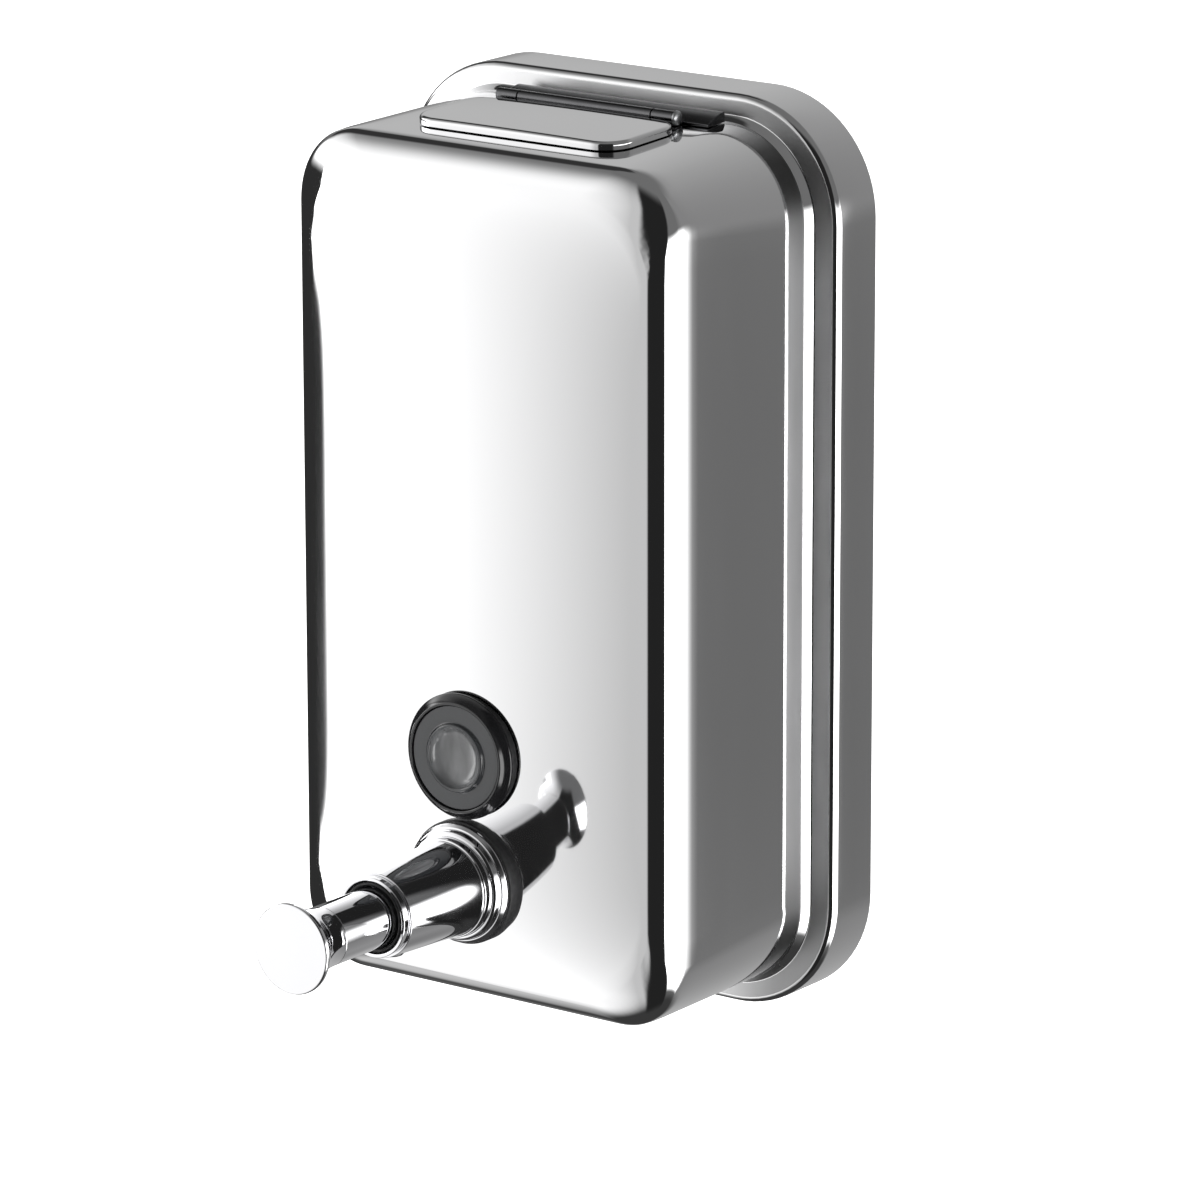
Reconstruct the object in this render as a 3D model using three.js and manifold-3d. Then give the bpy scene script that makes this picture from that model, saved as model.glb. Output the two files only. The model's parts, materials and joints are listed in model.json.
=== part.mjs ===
// Wall mounted soap dispenser: a stainless tank with a push valve, a sight glass and a filler lid.
// Millimetres. +Z is up, -Y is the front, +X is the viewer's right. The origin is on the wall, behind the
// middle of the back pan. "Depth" is the distance in front of the wall, so a point at depth d has y = -d.
import * as THREE from "three";
import { LoftGeometry } from "three/addons/geometries/LoftGeometry.js";
import { mergeVertices } from "three/addons/utils/BufferGeometryUtils.js";
import Module from "manifold-3d";

const wasm = await Module();
wasm.setup();

// ---- Clearances
const runningPlay = 0.08; // radial, between a piece that slides and its bore
const shankPlay = 0.15; // radial, between a fixed shank or screw and its hole
const cutGap = 0.3; // between a piece and the curved or sloping sheet that it is shaped to
const restGap = 0.1; // between two pieces that come to rest against each other

// ---- Fineness
const roundSides = 24; // sides of a turned piece
const smallSides = 12; // sides of a turned piece under about 5 mm
const cornerSteps = 6; // straight steps in each corner of a pressed outline
const straightSteps = 4; // steps along each side of the crowned shell
const flareSteps = 5; // along the flare of the button
const wireSides = 3; // steps in each quarter of the spring's wire

// ---- Tank: the front shell
const sheet = 1; // thickness of the pressed steel
const tankWidth = 103.2; // where the shell meets the pan
const tankHeight = 195;
const tankDepth = 72; // wall to the highest point of the front face
const crownRise = 5; // of the front face above its rim
const edgeDepth = 10.2; // from the highest point back to where the front edge starts to round
const edgeInset = 5.5; // from the side to the rim of the front face
const endInset = 7.2; // from the top and the bottom to that rim
const edgeTurn = THREE.MathUtils.degToRad(76); // how far the rounded edge turns
const sideNarrowing = 0.7; // of each side, from the pan to the rounded edge
const endNarrowing = 1.7; // of the top and the bottom, likewise
const rearCorner = 20.5;
const frontCorner = 15;
const faceCorner = 18; // of the front face's rim
const crownPower = 8; // how late the crown falls away towards the top and the bottom
const footRadius = 1.5; // hollow fillet where the shell is welded to the pan

// ---- Tank: the back pan
const panDepth = 14.7;
const panSideMargin = 7.4; // pan beyond the shell, each side
const panEndMargin = 6.1; // pan beyond the shell, top and bottom
const panCorner = 26.8;
const panEdge = 1.8; // rounding of its front edge

// ---- Wall bracket, hanger and retaining screw
const bracketSheet = 1.5;
const bracketWidth = 44;
const bracketTopReach = 62; // above the middle of the pan
const tabDrop = 7; // from the tab at the foot of the bracket down to the inside of the pan
const tabWidth = 16;
const hookWidth = 10;
const hookSpacing = 30;
const hookReach = 4.5; // forward of the plate
const hookHeight = 8; // of the hook's upright above its leg
const hookBelowTop = 1; // from the top of the bracket down to the hook's leg
const hangerSheet = 1.2;
const hangerWidth = 50;
const hangerFoot = 10; // height of the strip welded to the pan
const wallScrewRadius = 2.25;
const wallScrewSpread = 28;
const wallScrewTop = 48;
const wallScrewBottom = -68;
const retainerRadius = 1.75;
const retainerDepth = 7.5;
const retainerHeadRadius = 3.4;
const retainerHeadTop = 2.4; // radius of the flat on the head
const retainerHeadHeight = 1.8;

// ---- Lid, hinge and filler opening
const hingeDepth = 26;
const hingeHeight = 2.1; // pin axis above the top of the tank
const barrelRadius = 1.8;
const barrelLength = 36;
const knuckleLength = 5.7;
const knuckleGap = 0.3;
const pinRadius = 1;
const pinHeadRadius = 1.6;
const pinHead = 1;
const lidWidth = 56;
const lidFrontMargin = 7.8; // from the lid back to where the front edge starts to round
const lidSheet = 0.9;
const lidHeight = 2.4; // top of the lid above the top of the tank
const lidRoundness = 0.256; // of its corners, as a share of its length
const lidEdge = 0.8;
const lidBack = 2.6; // from the pin axis to the lid's rear edge
const mouthSideMargin = 4; // from the filler opening to the lid's edge
const mouthEndMargin = 3.2;
const mouthRoundness = 0.21;
const frameMargin = 3; // filler frame beyond the opening, each side
const frameLip = 0.5; // filler frame into the opening, each side
const frameDepth = 3;
const sealMargin = 0.5; // lid seal beyond the opening
const sealWidth = 1.6;
const hingeLeafDepth = 6.5;
const hingeLeafFront = 0.6; // thickness along the barrel
const hingeLeafRear = 2.3;
const hingeLeafLeft = 25; // reach to each side of the middle
const hingeLeafRight = 31;

// ---- Sight glass
const sightToValve = 0.6; // between the bezel and the valve's seal
const sightShank = 8;
const sightSeal = 0.6; // thickness of the outer sealing ring where it is thinnest
const sealSetIn = 0.5; // of that ring from the edge of the bezel
const lensOverhang = 3.7; // lens beyond its shank
const lensHeight = 2.5; // each height is above the highest point of the front face
const lensBossWall = 1;
const lensBossSetIn = 0.1;
const lensBossHeight = 3.3;
const lensRecessFloor = 1.4;
const lensDraft = 0.4;
const bezelWall = 0.6; // at the bezel's front
const bezelSlope = 0.9; // radial, from its front back to the foot of its cone
const bezelFoot = 0.85; // flat ring outside that foot
const bezelFlange = 0.6;
const bezelRelief = 0.5; // rise of the flat ring's edge
const bezelHeight = 3;
const sightShankReach = 12;
const sightShankWall = 2;
const sightShankHollow = 2; // depth of the hollow in the shank's end
const sightNutWall = 2.9; // across its flats
const sightNutHeight = 4.5;
const sightWasher = 1.2;

// ---- Push valve: what is fixed
const valveRise = 30.7; // valve axis above the bottom of the tank
const valveBore = 8;
const shankWall = 2;
const shankReach = 14; // behind the crown
const coneFrontWall = 1.5;
const coneTaper = 1.25;
const coneLength = 24;
const neckStep = 0.55; // each step outwards from the cone to the seal
const neckLength = 2.5;
const stepStep = 1.2;
const stepLength = 1.5;
const flangeStep = 1;
const flangeThickness = 1.5;
const sealStep = 0.5;
const valveSeal = 1.5;
const noseSetIn = 0.5; // of the nose lip from the cone
const noseLip = 2;
const noseSpigot = 6;
const noseWall = 0.8; // between the wiper's pocket and the outside of the lip
const pocketDepth = 1.2;
const wiperThickness = 1;
const washerThickness = 1.2;
const washerSetIn = 1; // of the inner washer and seal from the outer seal
const innerSeal = 2.6; // thickness of the inner sealing ring where the face is highest
const nutWall = 2.3; // across its flats
const nutHeight = 5;
const nozzleRadius = 2.6;
const nozzleHole = 1.2;
const nozzleSetback = 5; // from the front of the cone to the nozzle's axis
const nozzleProud = 0.3; // below the cone

// ---- Push valve: what moves
const strokeLength = 12;
const stemRadius = 6.7;
const stemVisible = 17; // stem seen in front of the nose lip at rest
const shoulderPlay = 0.4; // radial, in the valve's bore
const shoulderLength = 2.7;
const buttonLength = 11;
const buttonRadius = 10;
const buttonRim = 1;
const rodRadius = 3.5;
const rodIntoButton = 6;
const pistonPlay = 0.12; // radial, in the pump cylinder
const pistonLength = 6;
const ringGroove = 1.8;
const ringGrooveDepth = 1.2;
const ringPlay = 0.04;

// ---- Pump behind the valve
const cylinderWall = 0.9;
const cylinderFront = 2; // ahead of the crown
const cylinderFrontWall = 1.5;
const pistonSetback = 4; // from the cylinder's front to the piston, at rest
const pistonRearRoom = 4; // behind the piston at the end of its stroke
const springWire = 1;
const springTurns = 6;
const springSteps = 12; // straight steps in each turn
const portRadius = 1.5;
const elbowCap = 2;
const elbowBossRadius = 3.6;
const elbowBossLength = 2;
const elbowRadius = 5;
const elbowTop = 5; // above the valve axis
const elbowDrop = 14; // below the valve axis
const ballRadius = 2.6;
const ballPlay = 0.5;
const seatDrop = 8; // valve axis down to the ball's seat
const seatRadius = 2;
const tubeRadius = 3;
const tubeBore = 2;
const tubeSocket = 3;
const tubeFloorGap = 4; // from the tube's end to the bottom of the tank

// ---- Places worked out from the sizes above
const halfTank = { x: tankWidth / 2, z: tankHeight / 2 };
const halfPan = { x: halfTank.x + panSideMargin, z: halfTank.z + panEndMargin };
const edgeStart = tankDepth - edgeDepth;
const halfEdge = { x: halfTank.x - sideNarrowing, z: halfTank.z - endNarrowing };
const halfFace = { x: halfEdge.x - edgeInset, z: halfEdge.z - endInset };
const topSlope = Math.atan(endNarrowing / (edgeStart - panDepth));
const lidLength = edgeStart - lidFrontMargin - hingeDepth - lidBack;
const mouthWidth = lidWidth - 2 * mouthSideMargin;
const mouthLength = lidLength - 2 * mouthEndMargin;
const lidCorner = lidRoundness * lidLength;
const mouthCorner = mouthRoundness * mouthLength;
const coneFrontRadius = valveBore + coneFrontWall;
const coneRearRadius = coneFrontRadius + coneTaper;
const neckRadius = coneRearRadius + neckStep;
const stepRadius = neckRadius + stepStep;
const flangeRadius = stepRadius + flangeStep;
const valveSealRadius = flangeRadius + sealStep;
const shankRadius = valveBore + shankWall;
const lensRadius = sightShank + lensOverhang;
const bezelFront = lensRadius + shankPlay + bezelWall;
const bezelConeFoot = bezelFront + bezelSlope;
const bezelRadius = bezelConeFoot + bezelFoot;
const valveZ = valveRise - halfTank.z;
const sightZ = valveZ + valveSealRadius + sightToValve + bezelRadius;
const tankTopAt = (depth) => halfTank.z - (depth - panDepth) * Math.tan(topSlope);

// ---- Finishes
const finish = {
  mirrorSteel: { color: 0xdcdddf, roughness: 0.08, metalness: 1 },
  plainSteel: { color: 0xb4b6b9, roughness: 0.35, metalness: 1 },
  chrome: { color: 0xe6e7ea, roughness: 0.05, metalness: 1 },
  blackRubber: { color: 0x141414, roughness: 0.7, metalness: 0 },
  blackPlastic: { color: 0x101011, roughness: 0.2, metalness: 0 },
  smokedPlastic: { color: 0x4a4d50, roughness: 0.15, metalness: 0 },
  whitePlastic: { color: 0xe9e8e4, roughness: 0.45, metalness: 0 },
};

// ---- Solids: joining and cutting
function solidOf(geometry) {
  const bare = new THREE.BufferGeometry();
  bare.setAttribute("position", geometry.getAttribute("position"));
  bare.setIndex(geometry.getIndex());
  const merged = mergeVertices(bare, 1e-3);
  return new wasm.Manifold(
    new wasm.Mesh({
      numProp: 3,
      vertProperties: new Float32Array(merged.getAttribute("position").array),
      triVerts: new Uint32Array(merged.getIndex().array),
    }),
  );
}

function geometryOf(solid) {
  const mesh = solid.getMesh();
  const geometry = new THREE.BufferGeometry();
  geometry.setAttribute("position", new THREE.BufferAttribute(mesh.vertProperties, 3));
  geometry.setIndex(new THREE.BufferAttribute(mesh.triVerts, 1));
  return geometry;
}

function join(...pieces) {
  return geometryOf(pieces.map(solidOf).reduce((whole, next) => whole.add(next)));
}

function cut(piece, ...tools) {
  return geometryOf(tools.map(solidOf).reduce((whole, tool) => whole.subtract(tool), solidOf(piece)));
}

function keepInside(piece, space) {
  return geometryOf(solidOf(piece).intersect(solidOf(space)));
}

// ---- Shapes
// One closed outline of a pressing: a rectangle with round corners, at a depth that may vary over it.
function outline(half, corner, depthAt, sideSteps) {
  const points = [];
  const starts = [
    { x: half.x - corner, z: half.z - corner, from: 0 },
    { x: corner - half.x, z: half.z - corner, from: Math.PI / 2 },
    { x: corner - half.x, z: corner - half.z, from: Math.PI },
    { x: half.x - corner, z: corner - half.z, from: 1.5 * Math.PI },
  ];
  starts.forEach((centre, index) => {
    for (let step = 0; step <= cornerSteps; step++) {
      const angle = centre.from + (step / cornerSteps) * (Math.PI / 2);
      points.push({ x: centre.x + corner * Math.cos(angle), z: centre.z + corner * Math.sin(angle) });
    }
    const next = starts[(index + 1) % starts.length];
    const begin = points[points.length - 1];
    const end = {
      x: next.x + corner * Math.cos(next.from),
      z: next.z + corner * Math.sin(next.from),
    };
    for (let step = 1; step < sideSteps; step++) {
      const share = step / sideSteps;
      points.push({
        x: THREE.MathUtils.lerp(begin.x, end.x, share),
        z: THREE.MathUtils.lerp(begin.z, end.z, share),
      });
    }
  });
  return points.map((p) => new THREE.Vector3(p.x, -depthAt(p.x, p.z), p.z));
}

// A pressing open at the back, from the middle of its inside round its rear rim to the middle of its face.
// Its first and last outlines have shrunk to one point, so it closes without caps.
const pressing = (sections) => geometryOf(solidOf(new LoftGeometry(sections)));

const inset = (half, by) => ({ x: half.x - by, z: half.z - by });
const shrunk = (half, share) => ({ x: half.x * share, z: half.z * share });

// A flat tray with a rounded front edge, open at depth 0.
function tray(half, corner, height, edge, wall) {
  const flat = (depth) => () => depth;
  const edgeSteps = 3;
  const layer = (offset, roundness) => {
    const own = inset(half, offset);
    const radius = corner - offset;
    const front = height - offset;
    const sections = [outline(own, radius, flat(0), 1)];
    for (let step = 0; step <= edgeSteps; step++) {
      const turn = (step / edgeSteps) * (Math.PI / 2);
      const inwards = roundness * (1 - Math.cos(turn));
      const depth = front - roundness + roundness * Math.sin(turn);
      sections.push(outline(inset(own, inwards), radius - inwards, flat(depth), 1));
    }
    sections.push(outline(shrunk(own, 0), 0, flat(front), 1));
    return sections;
  };
  const outside = layer(0, edge);
  const inside = layer(wall, Math.max(edge - wall, edge / 2)).reverse();
  return pressing([...inside, ...outside]);
}

// How deep the crowned front face lies at a place on it.
function faceDepth(x, z) {
  const rim = tankDepth - crownRise;
  const across = Math.max(0, 1 - (x / halfFace.x) ** 2);
  const along = Math.max(0, 1 - (z / halfFace.z) ** crownPower);
  return rim + crownRise * across * along;
}

function shellLayer(offset) {
  const edgeSteps = 5;
  const footSteps = 3;
  const faceShares = [0.96, 0.9, 0.8, 0.66, 0.48, 0.28, 0];
  const sections = [];
  const rear = inset(halfTank, offset);
  if (offset === 0)
    for (let step = 0; step < footSteps; step++) {
      const turn = (step / footSteps) * (Math.PI / 2);
      const outwards = footRadius * (1 - Math.sin(turn));
      const depth = panDepth + footRadius * (1 - Math.cos(turn));
      sections.push(outline(inset(rear, -outwards), rearCorner + outwards, () => depth, straightSteps));
    }
  const sideStart = offset === 0 ? panDepth + footRadius : panDepth;
  sections.push(outline(rear, rearCorner - offset, () => sideStart, straightSteps));
  for (let step = 0; step <= edgeSteps; step++) {
    const turn = (step / edgeSteps) * edgeTurn;
    const inwards = (1 - Math.cos(turn)) / (1 - Math.cos(edgeTurn));
    const share = Math.sin(turn) / Math.sin(edgeTurn);
    const half = {
      x: THREE.MathUtils.lerp(halfEdge.x, halfFace.x, inwards) - offset,
      z: THREE.MathUtils.lerp(halfEdge.z, halfFace.z, inwards) - offset,
    };
    const corner = THREE.MathUtils.lerp(frontCorner, faceCorner, inwards) - offset;
    const depthAt = (x, z) => THREE.MathUtils.lerp(edgeStart, faceDepth(x, z), share) - offset * share;
    sections.push(outline(half, corner, depthAt, straightSteps));
  }
  const face = inset(halfFace, offset);
  for (const share of faceShares) {
    const depthAt = (x, z) => faceDepth(x, z) - offset;
    sections.push(outline(shrunk(face, share), (faceCorner - offset) * share, depthAt, straightSteps));
  }
  return sections;
}

// A turned piece: its profile is [radius, depth] pairs, listed anticlockwise with the radius to the right.
function turned(profile, sides = roundSides) {
  return new THREE.LatheGeometry(
    profile.map(([radius, depth]) => new THREE.Vector2(radius, depth)),
    sides,
  );
}

function ring(inner, outer, from, to, sides = roundSides) {
  return turned([[inner, from], [outer, from], [outer, to], [inner, to], [inner, from]], sides);
}

function disc(radius, from, to, sides = roundSides) {
  return turned([[0, from], [radius, from], [radius, to], [0, to]], sides);
}

function hexNut(flatRadius, bore, from, to) {
  const corner = flatRadius / Math.cos(Math.PI / 6);
  const block = new THREE.CylinderGeometry(corner, corner, to - from, 6);
  block.translate(0, (from + to) / 2, 0);
  return cut(block, disc(bore, from - 1, to + 1));
}

function box(x, y, z) {
  const geometry = new THREE.BoxGeometry(x[1] - x[0], y[1] - y[0], z[1] - z[0]);
  return geometry.translate((x[0] + x[1]) / 2, (y[0] + y[1]) / 2, (z[0] + z[1]) / 2);
}

// A bar along X of a bent strip's section, given as [depth, height] pairs.
function stripAcross(section, width) {
  const shape = new THREE.Shape(section.map(([depth, height]) => new THREE.Vector2(depth, height)));
  const bar = new THREE.ExtrudeGeometry(shape, { depth: width, bevelEnabled: false });
  bar.translate(0, 0, -width / 2);
  const forward = new THREE.Vector3(0, -1, 0);
  const up = new THREE.Vector3(0, 0, 1);
  const left = new THREE.Vector3(-1, 0, 0);
  return bar.applyMatrix4(new THREE.Matrix4().makeBasis(forward, up, left));
}

function roundedRectangle(width, length, corner) {
  const x = width / 2 - corner;
  const y = length / 2 - corner;
  const path = new THREE.Shape();
  path.absarc(x, y, corner, 0, Math.PI / 2, false);
  path.absarc(-x, y, corner, Math.PI / 2, Math.PI, false);
  path.absarc(-x, -y, corner, Math.PI, 1.5 * Math.PI, false);
  path.absarc(x, -y, corner, 1.5 * Math.PI, 2 * Math.PI, false);
  return path;
}

// A flat plate with round corners in the lid's frame, from one height to another, with an optional opening.
function plate(outer, inner, from, to) {
  const shape = roundedRectangle(outer.width, outer.length, outer.corner);
  if (inner) shape.holes.push(roundedRectangle(inner.width, inner.length, inner.corner));
  const options = { depth: to - from, bevelEnabled: false, curveSegments: cornerSteps };
  return new THREE.ExtrudeGeometry(shape, options).translate(0, 0, from);
}

// ---- Assembly
const dispenser = new THREE.Group();

function place(name, geometry, look, parent = dispenser) {
  const mesh = new THREE.Mesh(geometry, new THREE.MeshStandardMaterial(finish[look]));
  mesh.name = name;
  parent.add(mesh);
  return mesh;
}

// A frame whose +Y points out of the front, for pieces turned about an axis square to the wall.
function forwardFrame(z) {
  const frame = new THREE.Group();
  frame.position.z = z;
  frame.rotation.x = Math.PI;
  dispenser.add(frame);
  frame.updateMatrixWorld(true);
  return frame;
}

const valveFrame = forwardFrame(valveZ);
const sightFrame = forwardFrame(sightZ);

// The lid's frame lies on the sloping top, with its origin under the hinge pin.
const lidFrame = new THREE.Group();
lidFrame.position.set(0, -hingeDepth, tankTopAt(hingeDepth));
lidFrame.rotation.x = topSlope;
dispenser.add(lidFrame);
lidFrame.updateMatrixWorld(true);

const inWorld = (geometry, frame) => geometry.clone().applyMatrix4(frame.matrixWorld);
const inFrame = (geometry, frame) => geometry.clone().applyMatrix4(frame.matrixWorld.clone().invert());

// ---- Front shell and back pan
const lidMiddle = -(lidBack + lidLength / 2);
const mouth = { width: mouthWidth, length: mouthLength, corner: mouthCorner };
const mouthCutter = plate(mouth, null, -2 * sheet, 2 * sheet).translate(0, lidMiddle, 0);
const wholeShell = pressing([...shellLayer(sheet).reverse(), ...shellLayer(0)]);
place(
  "front_shell",
  cut(
    wholeShell,
    inWorld(mouthCutter, lidFrame),
    inWorld(disc(shankRadius + shankPlay, tankDepth / 2, 2 * tankDepth), valveFrame),
    inWorld(disc(sightShank + shankPlay, tankDepth / 2, 2 * tankDepth), sightFrame),
  ),
  "mirrorSteel",
);

const retainerHole = new THREE.CylinderGeometry(1, 1, 4 * sheet, smallSides).rotateX(Math.PI / 2);
const retainerClearance = retainerRadius + 3 * shankPlay;
const panHole = retainerHole
  .clone()
  .scale(retainerClearance, retainerClearance, 1)
  .translate(0, -retainerDepth, -halfPan.z);
place("back_pan", cut(tray(halfPan, panCorner, panDepth, panEdge, sheet), panHole), "mirrorSteel");

// ---- Wall bracket, hanger strap and retaining screw
const tabTop = sheet + tabDrop - halfPan.z;
const hookLeg = bracketTopReach - hookBelowTop;
const hangerTop = hookLeg + hookHeight + restGap + hangerSheet;
const hookOuter = bracketSheet + hookReach;

function wallBracket() {
  const backPlate = box(
    [-bracketWidth / 2, bracketWidth / 2],
    [-bracketSheet, 0],
    [tabTop - bracketSheet - hookBelowTop, bracketTopReach],
  );
  const tab = box(
    [-tabWidth / 2, tabWidth / 2],
    [-(retainerDepth + 2 * retainerRadius), -bracketSheet / 2],
    [tabTop - bracketSheet, tabTop],
  );
  const hooks = [-1, 1].map((side) =>
    stripAcross(
      [
        [bracketSheet / 2, hookLeg - bracketSheet],
        [hookOuter, hookLeg - bracketSheet],
        [hookOuter, hookLeg + hookHeight],
        [hookOuter - bracketSheet, hookLeg + hookHeight],
        [hookOuter - bracketSheet, hookLeg],
        [bracketSheet / 2, hookLeg],
      ],
      hookWidth,
    ).translate((side * hookSpacing) / 2, 0, 0),
  );
  const wallHoles = [wallScrewTop, wallScrewBottom].flatMap((z) =>
    [-1, 1].map((side) =>
      new THREE.CylinderGeometry(wallScrewRadius, wallScrewRadius, 4 * bracketSheet, smallSides)
        .translate((side * wallScrewSpread) / 2, 0, z),
    ),
  );
  const threadHole = retainerHole
    .clone()
    .scale(retainerRadius + runningPlay, retainerRadius + runningPlay, 1)
    .translate(0, -retainerDepth, tabTop);
  return cut(join(backPlate, tab, ...hooks), ...wallHoles, threadHole);
}
place("wall_bracket", wallBracket(), "plainSteel");

// The strap's lip drops behind the hooks, and its web rests on them.
const panInside = panDepth - sheet;
const lipDepth = bracketSheet + (hookReach - bracketSheet - hangerSheet) / 2;
place(
  "hanger_strap",
  stripAcross(
    [
      [lipDepth, hookLeg + restGap],
      [lipDepth + hangerSheet, hookLeg + restGap],
      [lipDepth + hangerSheet, hangerTop - hangerSheet],
      [panInside, hangerTop - hangerSheet],
      [panInside, hangerTop + hangerFoot],
      [panInside - hangerSheet, hangerTop + hangerFoot],
      [panInside - hangerSheet, hangerTop],
      [lipDepth, hangerTop],
    ],
    hangerWidth,
  ),
  "plainSteel",
);

const retainerLength = sheet + tabDrop + bracketSheet;
const retainingScrew = new THREE.Group();
retainingScrew.position.set(0, -retainerDepth, -halfPan.z);
retainingScrew.rotation.x = Math.PI / 2;
dispenser.add(retainingScrew);
place(
  "retaining_screw",
  turned(
    [
      [0, -retainerHeadHeight],
      [retainerHeadTop, -retainerHeadHeight],
      [retainerHeadRadius, -retainerHeadHeight / 2],
      [retainerHeadRadius, -restGap],
      [retainerRadius, -restGap],
      [retainerRadius, retainerLength],
      [0, retainerLength],
    ],
    smallSides,
  ),
  "plainSteel",
  retainingScrew,
);

// ---- Lid, its seal, the hinge and the filler frame
const alongX = (radius, from, to) =>
  new THREE.CylinderGeometry(radius, radius, to - from, smallSides)
    .rotateZ(Math.PI / 2)
    .translate((from + to) / 2, 0, hingeHeight);

const pinBore = alongX(pinRadius + runningPlay, -lidWidth, lidWidth);
const lidCeiling = lidHeight - lidSheet;

function lidPlate() {
  const half = { x: lidWidth / 2, z: lidLength / 2 };
  const pressed = tray(half, lidCorner, lidHeight - cutGap, lidEdge, lidSheet)
    .rotateX(-Math.PI / 2)
    .translate(0, lidMiddle, cutGap);
  const web = box(
    [-barrelLength / 2, barrelLength / 2],
    [-lidBack - lidSheet, 0],
    [lidCeiling, lidHeight],
  );
  return cut(join(pressed, web, alongX(barrelRadius, -barrelLength / 2, barrelLength / 2)), pinBore);
}
place("lid", lidPlate(), "mirrorSteel", lidFrame);

const sealInner = {
  width: mouthWidth + 2 * sealMargin,
  length: mouthLength + 2 * sealMargin,
  corner: mouthCorner + sealMargin,
};
const sealOuter = {
  width: sealInner.width + 2 * sealWidth,
  length: sealInner.length + 2 * sealWidth,
  corner: sealInner.corner + sealWidth / 2,
};
place(
  "lid_seal",
  plate(sealOuter, sealInner, cutGap, lidCeiling - restGap).translate(0, lidMiddle, 0),
  "blackRubber",
  lidFrame,
);

const knuckleStart = barrelLength / 2 + knuckleGap;
const knuckleEnd = knuckleStart + knuckleLength;

function hingeBracket() {
  const leafFront = barrelRadius + knuckleGap;
  const leafRear = leafFront + hingeLeafDepth;
  const leaf = stripAcross(
    [
      [-leafFront, cutGap],
      [-leafFront, cutGap + hingeLeafFront],
      [-leafRear, cutGap + hingeLeafRear],
      [-leafRear, cutGap],
    ],
    hingeLeafLeft + hingeLeafRight,
  ).translate((hingeLeafRight - hingeLeafLeft) / 2, 0, 0);
  const sides = [-1, 1].flatMap((side) => {
    const span = [side * knuckleStart, side * knuckleEnd].sort((a, b) => a - b);
    const web = box(span, [0, barrelRadius + 2 * knuckleGap], [cutGap, hingeHeight]);
    return [web, alongX(barrelRadius, ...span)];
  });
  return cut(join(leaf, ...sides), pinBore);
}
place("hinge_bracket", hingeBracket(), "mirrorSteel", lidFrame);

place(
  "hinge_pin",
  join(
    alongX(pinRadius, -knuckleEnd, knuckleEnd + pinHead),
    alongX(pinHeadRadius, knuckleEnd + restGap, knuckleEnd + pinHead),
  ),
  "plainSteel",
  lidFrame,
);

const fillerOuter = {
  width: mouthWidth + 2 * frameMargin,
  length: mouthLength + 2 * frameMargin,
  corner: mouthCorner + frameMargin,
};
const fillerInner = {
  width: mouthWidth - 2 * frameLip,
  length: mouthLength - 2 * frameLip,
  corner: mouthCorner - frameLip,
};
const frameTop = -sheet - cutGap;
place(
  "filler_frame",
  plate(fillerOuter, fillerInner, frameTop - frameDepth, frameTop).translate(0, lidMiddle, 0),
  "plainSteel",
  lidFrame,
);

// ---- Rings shaped to the crowned face
// Outside the shell the ring fills the hollow up to a flat face; inside, it does the same behind the sheet.
function filled(layer) {
  const middle = outline({ x: 0, z: 0 }, 0, () => panDepth, straightSteps);
  return pressing([middle, ...layer]);
}
const shellOutside = filled(shellLayer(0));
const shellInside = filled(shellLayer(sheet));

function outerSeat(frame, inner, outer, front) {
  const block = ring(inner, outer, tankDepth - crownRise, front);
  return cut(block, inFrame(shellOutside, frame).translate(0, cutGap, 0));
}

function innerSeat(frame, inner, outer, rear) {
  const block = ring(inner, outer, rear, tankDepth);
  return keepInside(block, inFrame(shellInside, frame).translate(0, -cutGap, 0));
}

// ---- Sight glass
const sightSealFront = tankDepth + cutGap + sightSeal;
const sightHole = sightShank + shankPlay;
const bezelTop = tankDepth + bezelHeight + cutGap;
const bezelStep = sightSealFront + bezelFlange;
const lensFront = tankDepth + cutGap + lensHeight;
const bossFront = tankDepth + cutGap + lensBossHeight;
const bossRadius = sightShank - lensBossSetIn;
const recessRadius = bossRadius - lensBossWall;
const recessFloor = tankDepth + cutGap + lensRecessFloor;
const sightRear = tankDepth - sightShankReach;
const sightHollow = sightShank - sightShankWall;
const sightNutFlat = sightHole + sightNutWall;
const innerSealRear = tankDepth - sheet - cutGap - innerSeal;
const sightWasherRear = innerSealRear - sightWasher;

const sightGasket = outerSeat(sightFrame, sightHole, bezelRadius - sealSetIn, sightSealFront);
place("sight_gasket", sightGasket, "blackRubber", sightFrame);

const bezelProfile = [
  [sightHole, sightSealFront],
  [bezelRadius, sightSealFront],
  [bezelRadius, bezelStep],
  [bezelConeFoot, bezelStep + bezelRelief],
  [bezelFront, bezelTop],
  [lensRadius + shankPlay, bezelTop],
  [lensRadius + shankPlay, bezelStep],
  [sightHole, bezelStep],
  [sightHole, sightSealFront],
];
place("sight_bezel", turned(bezelProfile), "blackPlastic", sightFrame);

const lensProfile = [
  [0, sightRear + sightShankHollow],
  [sightHollow, sightRear + sightShankHollow],
  [sightHollow, sightRear],
  [sightShank, sightRear],
  [sightShank, bezelStep],
  [lensRadius, bezelStep],
  [lensRadius, lensFront],
  [bossRadius, lensFront],
  [bossRadius - lensDraft, bossFront],
  [recessRadius, bossFront],
  [recessRadius - lensDraft, recessFloor],
  [0, recessFloor],
];
place("sight_lens", turned(lensProfile), "smokedPlastic", sightFrame);

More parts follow.
